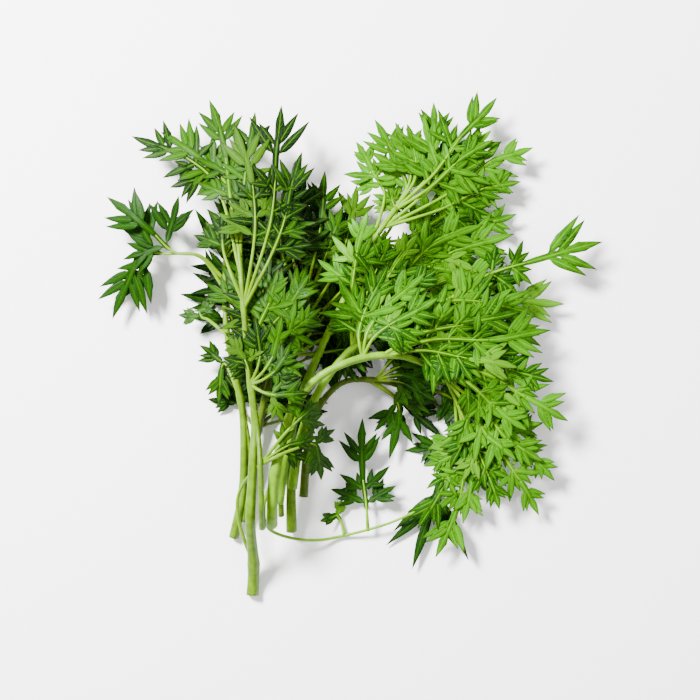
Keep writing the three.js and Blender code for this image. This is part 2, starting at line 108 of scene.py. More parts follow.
# The plan of a leaf, as in its solid. Shares are of the leaf's, leaflet's or lobe's own length, and
# each pair of leaflets or lobes is smaller and lies closer to its rib than the pair before it.
WING = 1.7
RACHIS_WING = 1.2
REACH_SCALE = 1.25
LEAFLET_GAP = 2
LEAFLET_BASE = 3.4
END_LEAFLET = (0, 0.3, 0.44, 0.54)
FIRST_LOBE = (0.1, 0.2, 0.15)
LOBE_STEP = 0.13
LEVEL_PITCH = 9
LEAFLET_ANGLE = 60
LEAFLET_ANGLE_STEP = 7
LEAFLET_SHRINK = 0.14
LOBE_ANGLE = 40
LOBE_ANGLE_STEP = 4
LOBE_SHARE = 0.6
LOBE_SHRINK = 0.1
LOBE_ROOT = 0.4

# The most that a seeded draw adds or takes away.
LEAF_ROLL_SPREAD = 7
EXTRA_ROLL_SPREAD = 9
LEAFLET_ANGLE_SPREAD = 5
LEAFLET_ROLL_SPREAD = 14
LEAFLET_PITCH_SPREAD = 2
LEAFLET_REACH_SPREAD = 0.12
LOBE_ANGLE_SPREAD = 6
LOBE_ROLL_SPREAD = 20
LOBE_PITCH_SPREAD = 7
LOBE_LENGTH_SPREAD = 0.16
END_ROLL_SPREAD = 16
RIB_BEND_SPREAD = 0.006
LOBE_BEND_SPREAD = 0.07
FOLD_SPREAD = 0.15
TOOTH_SPREAD = 0.08

# The form of the fine blade. A lobe's half width grows with its length, up to a most, and its outline is a
# share of that along its length from 0 to 1. Rows and columns are those of its points.
BLADE = 0.32
COLUMNS = 4
BASE_ROWS = 4
LOBE_ROWS = 9
MORE_LOBES = 1
LOBE_HALF = (1, 0.075)
LOBE_HALF_MOST = 2.7
LOBE_NARROWING = 0.95
LOBE_BLEND = 0.25
BASE_WIDTH = 0.62
WIDEST = 0.42
TIP_POWER = 1.55
LEAST_WIDTH = 0.03
TOOTH_PLACE = 0.5
TOOTH_LENGTH = 0.05
TOOTH_HEIGHT = 0.16
FOLD = 0.3
TIP_DROOP = 0.04
RIPPLE = 0.2
RIPPLE_TURNS = 9

# Where the green beside a rib counts as lying for its markings, so that it has no margin and no tip.
WING_ACROSS = 0.6
WING_ALONG = 0.1
RACHIS_ALONG = 0.05

# The rib on each leaflet. It runs on into the end lobe, by these shares of its length.
RIB_PLACES = 7
RIB_END_SHARES = (0.2, 0.4, 0.6)
RIB_RADIUS = (0.36, 0.12)
RIB_SIDES = 6

# Extra leaves. Each kind has its own range of keys for its draws, and each shoot a part of the range.
SISTER_REACH = 0.9
SISTER_KEY = 200
SIDE_KEY = 400
KEYS_EACH = 20

# Tones run from dark at 0 to light at 1.
STEM_TONE = 0.4
SIDE_STEM_TONE = 0.3
STALK_TONE = 0.5
LEAF_TONE = 0.5
LEAF_TONE_SPREAD = 0.4
LEAFLET_TONE_SPREAD = 0.25
LOBE_TONE_SPREAD = 0.16
RIB_TONE = 0.15

# Leaflets whose draw is above this show their underside.
FLIPPED_ABOVE = 0.8

# A piece's material slots, and the leaves with the dark blade, painted shade from the shaded blade colours:
# their shoot and place in its list.
BLADE_SLOT = 0
STEM_SLOT = 1
PAINTED_SHADE_SLOT = 2
PAINTED_SHADE_LEAVES = (("stem_arching", 1), ("stem_outer_left", 2), ("stem_outer_left", 3))

# Blade colours: the darkest, the lightest, the veins and the underside. The shaded set is painted shade: a
# darker copy of the green, for the lowest shoots, which lie under the others, and for the leaves with the
# dark blade.
BLADE_COLOURS = {
    "shaded": ((0.0005, 0.005, 0), (0.005, 0.03, 0), (0.02, 0.07, 0.001), (0.013, 0.045, 0.001)),
    "olive": ((0.0006, 0.007, 0), (0.013, 0.056, 0), (0.05, 0.14, 0.001), (0.036, 0.1, 0.002)),
    "bright": ((0.003, 0.03, 0), (0.035, 0.15, 0), (0.11, 0.3, 0.002), (0.08, 0.22, 0.006)),
}
TIP_COLOUR = (0.02, 0.018, 0.004)

# Stem colours: the darkest and the lightest. The shaded set is painted shade, a darker copy for the stems of
# the lowest shoots.
STEM_COLOURS = {
    "shaded": ((0.015, 0.035, 0.0005), (0.07, 0.12, 0.002)),
    "olive": ((0.016, 0.045, 0), (0.12, 0.24, 0.001)),
    "bright": ((0.028, 0.085, 0), (0.15, 0.32, 0.001)),
}
CUT_END_COLOUR = (0.62, 0.7, 0.4)

# Shader settings. The subsurface scale is in metres.
BLADE_SHADER = {
    "Specular IOR Level": 0.05,
    "Subsurface Weight": 0.1,
    "Subsurface Radius": (0.4, 1.0, 0.1),
    "Subsurface Scale": 0.0012,
}
STEM_SHADER = {
    "Roughness": 0.4,
    "Specular IOR Level": 0.15,
    "Subsurface Weight": 0.1,
    "Subsurface Radius": (0.6, 1.0, 0.2),
    "Subsurface Scale": 0.001,
}
TABLE_SHADER = {"Base Color": (0.95, 0.95, 0.95, 1), "Roughness": 0.9}

# Markings on a blade. Across runs from 0 at the rib to 1 at the edge, and along from 0 to 1 at the tip.
# The strength of each is a share of its colour, and an edge is where it starts and ends.
MOTTLE_SCALE = 170.0
MOTTLE = 0.9
UNDERSIDE = 0.6
VEIN_COUNT = 7.0
VEIN_SLANT = 1.6
VEIN_HALF = 0.09
VEIN = 0.4
VEIN_FADE = (0.9, 0.6)
MIDRIB = 0.5
MIDRIB_EDGE = (0.05, 0.17)
MIDRIB_FADE = (1.0, 0.7)
MARGIN = 0.8
MARGIN_EDGE = (0.8, 0.98)
MARGIN_START = (0.1, 0.4)
BROWN_TIP = 0.9
BROWN_TIP_EDGE = (0.82, 1.0)
BLADE_ROUGHNESS = (0.5, 0.38)
BLADE_GRAIN_SCALE = 900.0
BLADE_GRAIN = 0.5
BLADE_BUMP = 0.35

# Streaks and grain of a stem, and the depth of all bumps in metres.
STREAK_SCALE = 260.0
STREAK_DETAIL = 4.0
STREAK = 0.6
STREAK_EDGE = (0.25, 1.05)
STEM_GRAIN_SCALE = 700.0
STEM_GRAIN_DETAIL = 3.0
STEM_BUMP = 0.3
BUMP_DEPTH = 0.0002

# The table and the lights, in metres and watts.
TABLE_HALF = 3.0
KEY_LIGHT = {"place": (-0.7, 0.62, 0.95), "size": 0.35, "power": 120}
FILL_LIGHT = {"place": (0.7, -0.2, 1.2), "size": 1.2, "power": 8}
SKY_STRENGTH = 0.9


def leaf_row(places, bare, pairs, reach, lobes=1, on=None):
    """A leaf of the plan.

    Its path on the board, the bare share of that, the pairs of leaflets, the reach of the lowest ones, the
    pairs of lobes of its end leaflet in the solid, and the leaf of its shoot that it grows on, if any.
    """
    return {"places": places, "bare": bare, "pairs": pairs, "reach": reach, "lobes": lobes, "on": on}


# The shoots from low to high, each with its leaves from low to high and how many lie under its stem.
SHOOTS = [
    {
        "name": "stem_under",
        # The shaded look paints shade on this shoot, which lies lowest in the pile.
        "look": "shaded",
        "under": 5,
        "radius": (2.3, 0.9),
        "places": [(122, 246), (127, 220), (134, 192), (143, 165), (152, 142)],
        "leaves": [
            leaf_row([(132, 198), (120, 172), (110, 148), (100, 124)], 0.45, 2, 20, lobes=0),
            leaf_row([(128, 214), (140, 204), (152, 192), (160, 176)], 0.3, 2, 18, lobes=0),
            leaf_row([(128, 216), (120, 206), (115, 194), (108, 184)], 0.35, 2, 13, lobes=0),
            leaf_row([(134, 192), (150, 170), (170, 150), (188, 128)], 0.3, 2, 27),
            leaf_row([(140, 172), (160, 160), (190, 158), (222, 150)], 0.3, 2, 27),
            leaf_row([(138, 182), (126, 156), (112, 130), (99, 102)], 0.45, 2, 20, lobes=0),
            leaf_row([(146, 158), (138, 130), (130, 108), (124, 88)], 0.25, 2, 25),
            leaf_row([(152, 142), (156, 122), (158, 105), (160, 92)], 0.2, 2, 23),
        ],
    },
    {
        "name": "stem_lower_right",
        # The shaded look paints shade on this shoot, which lies low in the pile, under the others.
        "look": "shaded",
        "under": 2,
        "radius": (2.2, 0.9),
        "places": [(151, 250), (153, 226), (158, 206), (170, 192), (186, 190), (203, 194)],
        "leaves": [
            leaf_row([(201, 193), (224, 208), (222, 236), (210, 288)], 0.5, 1, 20),
            leaf_row([(186, 190), (200, 200), (210, 210), (222, 219)], 0.3, 1, 16, lobes=0),
            leaf_row([(184, 190), (198, 200), (200, 212), (198, 231)], 0.3, 1, 17, lobes=0),
            leaf_row([(203, 194), (225, 192), (245, 200), (262, 207)], 0.25, 2, 20),
            leaf_row([(188, 190), (198, 184), (208, 182), (220, 181)], 0.2, 1, 14),
        ],
    },
    {
        "name": "stem_outer_left",
        "look": "olive",
        "under": 2,
        "radius": (2.4, 1.0),
        "places": [
            (115.5, 270.5), (120, 250), (121.5, 228), (121, 208),
            (118, 190), (114, 170), (112, 150), (112, 130),
        ],
        "leaves": [
            leaf_row([(120, 200), (112, 182), (109, 190), (107.5, 202.5)], 0.3, 1, 14),
            leaf_row([(114, 168), (104, 160), (100, 158), (98, 150), (107, 152)], 0.4, 1, 9),
            leaf_row([(112, 145), (100, 128.5), (84, 126.5), (64, 129), (55.5, 160)], 0.55, 1, 23),
            leaf_row([(112, 140), (100, 128), (86, 125.5), (72, 112), (53, 96)], 0.52, 1, 20),
            leaf_row([(115, 172), (126, 156), (134, 140), (140, 122)], 0.3, 2, 19),
            leaf_row([(112, 130), (116, 120), (120, 108), (122, 92)], 0.2, 2, 17),
        ],
    },
    {
        "name": "stem_middle",
        "look": "olive",
        "under": 3,
        "radius": (2.6, 1.0),
        "places": [(145, 267), (145, 245), (145.5, 225), (146, 205), (145, 188), (148, 168), (152, 150)],
        "leaves": [
            leaf_row([(146, 178), (160, 160), (168, 150), (180, 140)], 0.35, 2, 20),
            leaf_row([(145, 190), (136, 176), (130, 162), (120, 150)], 0.3, 2, 18),
            leaf_row([(148, 168), (168, 135), (175, 112), (180, 91.5)], 0.35, 2, 17),
            leaf_row([(150, 158), (157, 130), (161, 108), (164.5, 85)], 0.3, 2, 17),
            leaf_row([(152, 150), (146, 125), (148, 105), (151, 87)], 0.25, 2, 19),
            leaf_row([(145, 185), (136, 165), (134, 145), (138, 122)], 0.3, 2, 21),
        ],
    },
    {
        "name": "stem_upper_right",
        "look": "bright",
        "under": 3,
        "radius": (2.5, 1.0),
        "places": [(139, 252), (143, 226), (150, 200), (160, 175), (172, 150), (186, 122), (198, 104)],
        "leaves": [
            leaf_row([(186, 122), (210, 122), (238, 112), (260, 107)], 0.3, 3, 23),
            leaf_row([(180, 135), (192, 100), (186, 85), (179, 70)], 0.4, 2, 14),
            leaf_row([(192, 113), (203, 95), (198, 80), (190, 58)], 0.3, 2, 15),
            leaf_row([(196, 107), (205, 90), (203, 75), (199, 60)], 0.3, 1, 17),
            leaf_row([(198, 104), (214, 88), (218, 70), (219, 50)], 0.3, 2, 18),
            leaf_row([(192, 114), (222, 98), (246, 80), (267.5, 71.5)], 0.3, 3, 22),
            leaf_row([(196, 106), (216, 88), (232, 66), (249, 47.5)], 0.35, 2, 22),
            leaf_row([(172, 150), (186, 144), (204, 138), (222, 136)], 0.25, 2, 22),
        ],
    },
    {
        "name": "stem_right",
        "look": "bright",
        "under": 2,
        "radius": (2.4, 1.0),
        "places": [(146, 244), (150, 220), (158, 198), (172, 178), (190, 165), (208, 154), (224, 150)],
        "leaves": [
            leaf_row([(200, 159), (222, 152), (255, 150), (284, 148)], 0.35, 2, 21),
            leaf_row([(190, 165), (208, 140), (226, 126), (257, 116)], 0.3, 3, 21),
            leaf_row([(224, 150), (245, 137), (268, 130), (302.5, 120)], 0.3, 2, 13),
            leaf_row([(176, 175), (186, 152), (198, 132), (208, 118)], 0.35, 2, 20),
            leaf_row([(212, 153), (232, 155), (252, 162), (272, 172)], 0.2, 2, 20),
        ],
    },
    {
        "name": "stem_arching",
        "look": "bright",
        "under": 3,
        "radius": (2.7, 1.1),
        "places": [
            (136, 262), (137.5, 238), (142, 218), (148, 202), (160, 188),
            (180, 179), (200, 178), (216, 184), (227, 192),
        ],
        "leaves": [
            leaf_row(
                [(138, 236), (132.5, 252), (136, 266), (160, 271.5), (190, 264.5), (208, 257)],
                1, 0, 3,
            ),
            leaf_row([(184, 267), (183, 252), (181, 236), (179, 209)], 0.25, 2, 15, on=0),
            leaf_row([(227, 192), (233, 225), (229, 255), (220, 281)], 0.25, 3, 19),
            leaf_row([(222, 188), (243, 216), (260, 240), (272, 258)], 0.3, 3, 20),
            leaf_row([(218, 185), (240, 204), (256, 222), (272.5, 231)], 0.3, 2, 22),
            leaf_row([(206, 180), (240, 186), (262, 198), (285, 210)], 0.3, 3, 21),
            leaf_row([(190, 178), (215, 170), (245, 170), (276, 167.5)], 0.25, 3, 23),
            leaf_row([(181, 179), (184, 165), (196, 150), (212, 136)], 0.25, 2, 22),
        ],
    },
    {
        "name": "stem_front_left",
        "look": "olive",
        "under": 2,
        "radius": (3.0, 1.0),
        "places": [
            (125, 300), (126, 283), (125.5, 262), (127, 235),
            (128, 210), (125.5, 185), (123.5, 160), (121, 130),
        ],
        "leaves": [
            leaf_row(
                [(126, 283), (119.5, 262), (119.5, 246), (131, 231), (146, 221), (160, 218)],
                0.7, 1, 12,
            ),
            leaf_row([(125, 178), (136, 164), (147, 152), (156, 138)], 0.3, 2, 19),
            leaf_row([(126, 192), (134, 184), (140, 172), (142, 158)], 0.3, 1, 18),
            leaf_row([(123, 152), (114, 130), (112, 118), (111, 107)], 0.4, 1, 14),
            leaf_row([(122, 140), (110, 96), (92, 78), (66, 64)], 0.4, 2, 19),
            leaf_row([(121, 130), (116, 100), (112.5, 75), (108.5, 47.5)], 0.3, 2, 17),
            leaf_row([(123, 155), (134, 122), (138, 92), (137, 52)], 0.35, 3, 20),
        ],
    },
]

# Slimmer leaves that fill the bunch out. Each lies in the layer of a leaf of its shoot and leaves the
# stem with it: that leaf's place in the list, the angle to its left, and its share of that leaf's length.
SISTERS = {
    "stem_under": [
        (0, -20, 0.9), (0, -40, 0.9), (1, 60, 0.8), (1, 42, 0.9), (1, 2, 0.8), (2, -62, 0.8),
        (2, -80, 0.9), (1, 20, 0.9), (1, -25, 0.8), (2, -45, 0.9), (2, -25, 0.8), (3, 15, 1),
        (3, -20, 0.9), (4, 18, 0.8), (4, -15, 0.9), (5, -18, 1), (6, 9, 0.85), (6, -20, 0.9),
        (7, 22, 0.9), (7, -25, 0.9),
    ],
    "stem_lower_right": [
        (3, 15, 0.85), (3, -15, 0.9), (4, 22, 1), (4, -18, 0.9), (4, -36, 1),
    ],
    "stem_outer_left": [
        (4, 20, 0.9), (4, -22, 0.8), (4, -60, 0.6), (5, 12, 0.9), (5, -20, 0.8),
    ],
    "stem_middle": [
        (0, -45, 0.8), (0, -22, 0.9), (0, 22, 0.8), (1, 45, 0.7), (1, -20, 0.9), (1, 22, 0.85),
        (2, -14, 0.8), (3, -10, 0.8), (4, 14, 0.8), (5, 16, 0.9), (5, -18, 0.85),
    ],
    "stem_upper_right": [
        (0, -14, 0.9), (0, 12, 0.8), (1, -16, 0.8), (4, 12, 0.75), (5, -10, 0.85), (5, 12, 0.85),
        (6, -10, 0.8), (7, 14, 0.9), (7, -16, 0.9),
    ],
    "stem_right": [
        (0, -12, 0.85), (0, 10, 0.8), (1, 12, 0.9), (1, -12, 0.85), (3, 24, 1.05), (3, 10, 0.9),
        (3, -16, 0.9), (4, 14, 0.9), (4, -12, 0.85),
    ],
    "stem_arching": [
        (2, 9, 0.8), (2, -8, 0.85), (3, 12, 0.9), (3, -12, 0.85), (4, -8, 0.85), (5, 12, 0.85),
        (5, -12, 0.8), (6, 12, 0.85), (6, -10, 0.8), (7, 20, 0.9), (7, -18, 0.9),
    ],
    "stem_front_left": [
        (1, 18, 0.9), (1, -20, 0.85), (2, 50, 0.7), (2, 20, 0.9), (2, -22, 0.8), (2, -70, 0.8),
        (4, -7, 0.92), (5, -12, 0.9), (6, -10, 0.8), (6, 9, 0.9),
    ],
}

# More small leaves on a leaf's stalk: that leaf's place in the list, their places, bare share and reach.
SIDE_LEAVES = {
    "stem_front_left": [
        (0, [(131, 231), (146, 224), (158, 222), (161, 240)], 0.55, 10),
        (0, [(131, 231), (143, 216), (152, 207), (160, 200)], 0.5, 10),
    ],
    "stem_arching": [
        (0, [(172, 269.5), (170, 262), (166, 258), (160, 262)], 0.3, 8),
    ],
}

# Thin stems close beside the main ones: their places and their radius at each end.
SIDE_STEMS = {
    "stem_front_left": [([(131.5, 263), (131.5, 243), (130.5, 222), (127, 192)], (1.6, 1))],
    "stem_outer_left": [([(121, 262), (124, 244), (124.5, 226), (121, 203)], (1.4, 1))],
    "stem_middle": [([(140, 259), (140, 240), (141.5, 222), (145.5, 200)], (1.5, 1))],
}


def vary(key, spread):
    """A draw from -spread to spread, the same each time for the same key.

    Each use adds a fraction of its own to the key, so that the draws for one leaf differ.
    """
    swing = math.sin(key * DRAW_STEP + DRAW_START) * DRAW_SIZE
    return (2 * (swing - math.floor(swing)) - 1) * spread


def mix(a, b, share):
    return a + (b - a) * share


def smooth(value):
    share = np.clip(value, 0, 1)
    return share * share * (3 - 2 * share)


def on_table(place):
    """A place of the board in the part's own x and y."""
    return np.array([place[0] - BOARD_CENTRE[0], BOARD_CENTRE[1] - place[1]])


def turned(a, b, angle):
    return a * math.cos(angle) + b * math.sin(angle)


def unit(a):
    return a / np.linalg.norm(a)


class Path:
    """A smooth curve through places on the board, in x and y."""

    def __init__(self, places):
        points = [on_table(place) for place in places]
        first = 2 * points[0] - points[1]
        last = 2 * points[-1] - points[-2]
        self.points = [first, *points, last]
        self.spans = len(points) - 1
        self.length = self.chord_length(LENGTH_STEPS)

    def at(self, share):
        along = share * self.spans
        span = min(int(math.floor(along)), self.spans - 1)
        t = along - span
        p0, p1, p2, p3 = self.points[span:span + 4]
        v1 = (p2 - p0) / 2
        v2 = (p3 - p1) / 2
        cubic = 2 * p1 - 2 * p2 + v1 + v2
        square = -3 * p1 + 3 * p2 - 2 * v1 - v2
        return ((cubic * t + square) * t + v1) * t + p1

    def chord_length(self, steps):
        places = [self.at(i / steps) for i in range(steps + 1)]
        return sum(np.linalg.norm(b - a) for a, b in zip(places, places[1:]))

    def flat_points(self, shares):
        return np.array([[*self.at(share), 0] for share in shares])


def near_line(xy, start, run):
    """The share along a line that is nearest to each point, and how far away the point is."""
    off = xy - start
    share = np.clip(off @ run / (run @ run), 0, 1)
    return share, np.linalg.norm(off - share[:, None] * run, axis=1)


class Layer:
    """The room that one stem or leaf takes up in the pile, along its path."""

    def __init__(self, path, steps, facts):
        shares = [i / steps for i in range(steps + 1)]
        places = np.array([path.at(share) for share in shares])
        self.start = places[:-1]
        self.run = places[1:] - places[:-1]
        self.facts = np.array([facts(share) for share in shares])
        reach = self.facts[:, 1].max() + self.facts[:, 2].max()
        self.low = places.min(axis=0) - reach
        self.high = places.max(axis=0) + reach

    def cover(self, xy):
        """How thick the layer is at each point, and how far it covers the point, from 0 to 1."""
        depth = np.zeros(len(xy))
        cover = np.zeros(len(xy))
        if (xy.max(axis=0) < self.low).any() or (xy.min(axis=0) > self.high).any():
            return depth, cover
        for i, (start, run) in enumerate(zip(self.start, self.run)):
            share, away = near_line(xy, start, run)
            deep, half, fall = mix(self.facts[i][:, None], self.facts[i + 1][:, None], share)
            here = 1 - smooth((away - half) / fall)
            depth = np.maximum(depth, deep * here)
            cover = np.maximum(cover, here)
        return depth, cover


def rim_lift(xy):
    start, end = on_table(SPINE[0]), on_table(SPINE[1])
    away = near_line(xy, start, end - start)[1]
    return RIM_LIFT * smooth((away - RIM_START) / RIM_LENGTH)


def heights(layer, points, spare):
    """Heights of points given as x, y and their place in the layer."""
    xy = points[:, :2]
    base = rim_lift(xy) - SLACK / 2
    bare = np.ones(len(xy))
    for i in range(layer["order"]):
        depth, cover = PILE[i]["room"].cover(xy)
        base += depth
        bare *= 1 - cover
        if PILE[i + 1]["shoot"] != PILE[i]["shoot"]:
            base += GAP * (1 - bare)
            bare[:] = 1
    depth = layer["room"].cover(xy)[0]
    room = np.maximum(LEAST_ROOM, (depth - SLACK) / 2 - spare)
    return base + depth / 2 + room * np.tanh(points[:, 2] / room)


def lift_points(layer, points):
    lifted = points.copy()
    lifted[:, 2] = np.maximum(heights(layer, points, SPARE), LOWEST)
    return lifted


def stem_facts(radius):
    """A stem's thickness with slack, its half width and its fall, at a share of its path."""

    def facts(share):
        r = mix(*radius, share)
        fall = mix(*STEM_FALL, smooth(share * (1 + STEM_FALL_START) - STEM_FALL_START))
        return 2 * r + SLACK, r + STEM_MARGIN, fall

    return facts


def leaf_facts(leaf):
    """A leaf's thickness with slack, its half width and its fall, at a share of its path."""
    blade_half = leaf["reach"] * REACH_SCALE * BLADE_SHARE + REACH_SPARE

    def facts(share):
        spread = smooth((share - leaf["bare"] + SPREAD_LEAD) / SPREAD_LENGTH)
        return (
            mix(2 * STALK_RADIUS[0], BLADE_LAYER, spread) + SLACK,
            mix(STALK_HALF, blade_half, spread),
            mix(STALK_FALL, BLADE_FALL, spread),
        )

    return facts


def lay_out(shoot, order):
    """Give a shoot's stem and leaves their paths and rooms, and return them from low to high."""
    stem = {"shoot": shoot["name"], "path": Path(shoot["places"]), "radius": shoot["radius"]}
    stem["room"] = Layer(stem["path"], STEM_ROOM_STEPS, stem_facts(shoot["radius"]))
    shoot["stem"] = stem
    for i, leaf in enumerate(shoot["leaves"]):
        leaf["shoot"] = shoot["name"]
        leaf["path"] = Path(leaf["places"])
        leaf["key"] = order * 10 + i + 1
        leaf["roll"] = math.radians(vary(leaf["key"], LEAF_ROLL_SPREAD))
        leaf["room"] = Layer(leaf["path"], LEAF_ROOM_STEPS, leaf_facts(leaf))
    cut = shoot["under"]
    return [*shoot["leaves"][:cut], stem, *shoot["leaves"][cut:]]


def turned_places(places, degrees, scale):
    """Places turned and scaled about the first one."""
    angle = math.radians(-degrees)
    start = np.array(places[0], float)
    turn = np.array([[math.cos(angle), -math.sin(angle)], [math.sin(angle), math.cos(angle)]])
    return [start + scale * (turn @ (np.array(place) - start)) for place in places]


def extra_leaf(host, places, reach, key):
    """A leaf that shares another one's layer."""
    leaf = dict(host)
    leaf["path"] = Path(places)
    leaf["reach"] = reach
    leaf["key"] = key
    leaf["roll"] = math.radians(vary(key, EXTRA_ROLL_SPREAD))
    return leaf


def sister_leaves(shoot, first_key):
    for i, (place, degrees, scale) in enumerate(SISTERS[shoot["name"]]):
        host = shoot["leaves"][place]
        places = turned_places(host["places"], degrees, scale)
        yield extra_leaf(host, places, host["reach"] * scale * SISTER_REACH, first_key + i)


def side_leaves(shoot, first_key):
    for i, (place, places, bare, reach) in enumerate(SIDE_LEAVES.get(shoot["name"], [])):
        leaf = extra_leaf(shoot["leaves"][place], places, reach, first_key + i)
        leaf.update(on=place, bare=bare, pairs=1)
        yield leaf


class Stance:
    """A place in a layer with its own forward, left and upward ways."""

    def __init__(self, root, forward, left):
        self.root = root
        self.forward = forward
        self.left = left
        self.face = np.cross(forward, left)

    def place(self, along, side):
        return self.root + self.forward * along + self.left * side

    def branch(self, root, angle, roll, pitch):
        """The stance of what grows from a root here: turned to the left, rolled and pitched, in radians."""
        flat_left = turned(self.left, self.forward, -angle)
        grown = turned(self.forward, self.left, angle)
        face = unit(np.cross(grown, flat_left))
        left = turned(flat_left, face, roll)
        tipped = turned(face, flat_left, -roll)
        return Stance(root, turned(grown, tipped, pitch), left)


def flat_stance(root, forward, roll):
    left = turned(np.array([-forward[1], forward[0], 0]), np.array([0, 0, 1]), roll)
    return Stance(root, forward, left)


class Sheet:
    """Patches of a leaf's green surface, with what its material needs at each point."""

    def __init__(self):
        self.points = []
        self.notes = []
        self.faces = []
        self.ribs = []
        self.count = 0

    def patch(self, points, notes):
        rows, columns = points.shape[:2]
        grid = self.count + np.arange(rows * columns).reshape(rows, columns)
        a, b, c, d = grid[:-1, :-1], grid[1:, :-1], grid[1:, 1:], grid[:-1, 1:]
        corners = np.stack([a.ravel(), b.ravel(), c.ravel(), d.ravel()], axis=1)
        self.faces.append(corners[:, [0, 1, 2]])
        self.faces.append(corners[:, [0, 2, 3]])
        self.points.append(points.reshape(-1, 3))
        self.notes.append(notes.reshape(-1, len(NOTES)))
        self.count += rows * columns


# Where a row's points lie, from its left edge at 1 to its right edge at -1.
ACROSS = np.linspace(1, -1, COLUMNS + 1)

# What is noted for the material at each point. The last one says that the underside shows.
NOTES = ("across", "along", "tone", "under")


def notes_for(points, across, along, tone, flipped):
    """What the material needs at each point of a patch."""
    notes = np.empty((*points.shape[:2], len(NOTES)))
    for i, value in enumerate((across, along, tone, flipped)):
        notes[..., i] = value
    return notes


def lobe_width(s, key):
    """A lance-shaped lobe's width along one side, with a small tooth on some."""
    growing = BASE_WIDTH + (1 - BASE_WIDTH) * smooth(s / WIDEST)
    tapering = 1 - np.clip((s - WIDEST) / (1 - WIDEST), 0, 1) ** TIP_POWER
    tooth_place = TOOTH_PLACE + vary(key, TOOTH_SPREAD)
    tooth = np.exp(-(((s - tooth_place) / TOOTH_LENGTH) ** 2))
    wide = np.where(s < WIDEST, growing, tapering)
    return np.maximum(wide + TOOTH_HEIGHT * tooth * (vary(key + 0.4, 1) > 0), LEAST_WIDTH)


def lobe(sheet, base, stance, length, tone, flipped, key):
    """A lobe from its row of base points, which run from its left to its right."""
    half = LOBE_NARROWING * min(LOBE_HALF_MOST, LOBE_HALF[0] + LOBE_HALF[1] * length)
    s = np.linspace(0, 1, LOBE_ROWS + 1)[:, None]
    side = ACROSS * half * np.where(ACROSS > 0, lobe_width(s, key), lobe_width(s, key + 3.3))
    fold = (FOLD + vary(key + 1.1, FOLD_SPREAD)) * np.abs(side)
    ripple = RIPPLE * np.sin(RIPPLE_TURNS * s + key) * np.abs(ACROSS)
    lift = fold - length * TIP_DROOP * s**2 + ripple
    bend = vary(key + 1.7, LOBE_BEND_SPREAD) * length * s**2
    spine = stance.root + stance.forward * (s * length)[..., None]
    points = spine + stance.left * (side + bend)[..., None] + stance.face * lift[..., None]
    blend = smooth(s / LOBE_BLEND)[..., None]
    points = base * (1 - blend) + points * blend
    sheet.patch(points, notes_for(points, ACROSS, s, tone + vary(key + 2.3, LOBE_TONE_SPREAD), flipped))


def edge_row(rows, row, side):
    """The points along one edge of a wing that a lobe or leaflet grows from, from its left to its right."""
    edge = rows[row:row + COLUMNS + 1, 0 if side > 0 else -1]
    return edge[::-1] if side > 0 else edge


def leaflet_rows(base, stance, rib_place, first, lobe_pairs):
    """The rows of a leaflet's narrow wing: some before the first lobe, then a set for each pair of lobes."""
    shares = [*np.linspace(0, first, BASE_ROWS + 1)[1:]]
    for i in range(lobe_pairs):
        start = first + LOBE_STEP * i
        shares += [*np.linspace(start, start + LOBE_STEP, COLUMNS + 1)[1:]]
    rows = [base]
    for share in shares:
        row = np.array([rib_place(share) + stance.left * WING * a for a in ACROSS])
        rows.append(mix(base, row, smooth(share / first)) if share < first else row)
    return np.array(rows)


def leaflet(sheet, base, stance, length, lobe_pairs, tone, key):
    """A leaflet on its row of base points: its wing, its pairs of lobes, its end lobe and its rib."""
    first = FIRST_LOBE[lobe_pairs]
    lobe_pairs += MORE_LOBES
    bend = vary(key + 0.7, RIB_BEND_SPREAD)
    tone += vary(key + 0.25, LEAFLET_TONE_SPREAD)
    flipped = 1 if vary(key + 0.15, 1) > FLIPPED_ABOVE else 0

    def rib_place(share):
        return stance.place(share * length, bend * (share * length) ** 2)

    rows = leaflet_rows(base, stance, rib_place, first, lobe_pairs)
    sheet.patch(rows, notes_for(rows, ACROSS * WING_ACROSS, WING_ALONG, tone, flipped))
    for i in range(lobe_pairs):
        root = rib_place(first + LOBE_STEP * i + LOBE_STEP * LOBE_ROOT)
        for side in (1, -1):
            seed = key * 7 + i * 2 + side
            angle = LOBE_ANGLE - LOBE_ANGLE_STEP * i + vary(seed, LOBE_ANGLE_SPREAD)
            roll = vary(seed + 0.3, LOBE_ROLL_SPREAD)
            pitch = vary(seed + 0.6, LOBE_PITCH_SPREAD)
            own = stance.branch(root, side * math.radians(angle), math.radians(roll), math.radians(pitch))
            share = (LOBE_SHARE - LOBE_SHRINK * i) * (1 + vary(seed + 0.9, LOBE_LENGTH_SPREAD))
            edge = edge_row(rows, BASE_ROWS + COLUMNS * i, side)
            lobe(sheet, edge, own, length * share, tone, flipped, seed)
    end_share = first + LOBE_STEP * lobe_pairs
    end_length = length * (1 - end_share)
    roll = math.radians(vary(key + 0.2, END_ROLL_SPREAD))
    own = stance.branch(rib_place(end_share), bend * length, roll, 0)
    lobe(sheet, rows[-1], own, end_length, tone, flipped, key + 0.5)
    rib = [rib_place(share) for share in np.linspace(0, end_share, RIB_PLACES)]
    rib += [own.place(end_length * share, 0) for share in RIB_END_SHARES]
    sheet.ribs.append(np.array(rib))


def rachis_stance(leaf, share):
    path = leaf["path"]
    way = path.at(min(1, share + WAY_STEP)) - path.at(max(0, share - WAY_STEP))
    return flat_stance(np.array([*path.at(share), 0]), unit(np.array([*way, 0])), leaf["roll"])


def rachis_end(leaf):
    """The share of a leaf's path at which its end leaflet starts."""
    return mix(leaf["bare"], 1, END_LEAFLET[leaf["pairs"]])


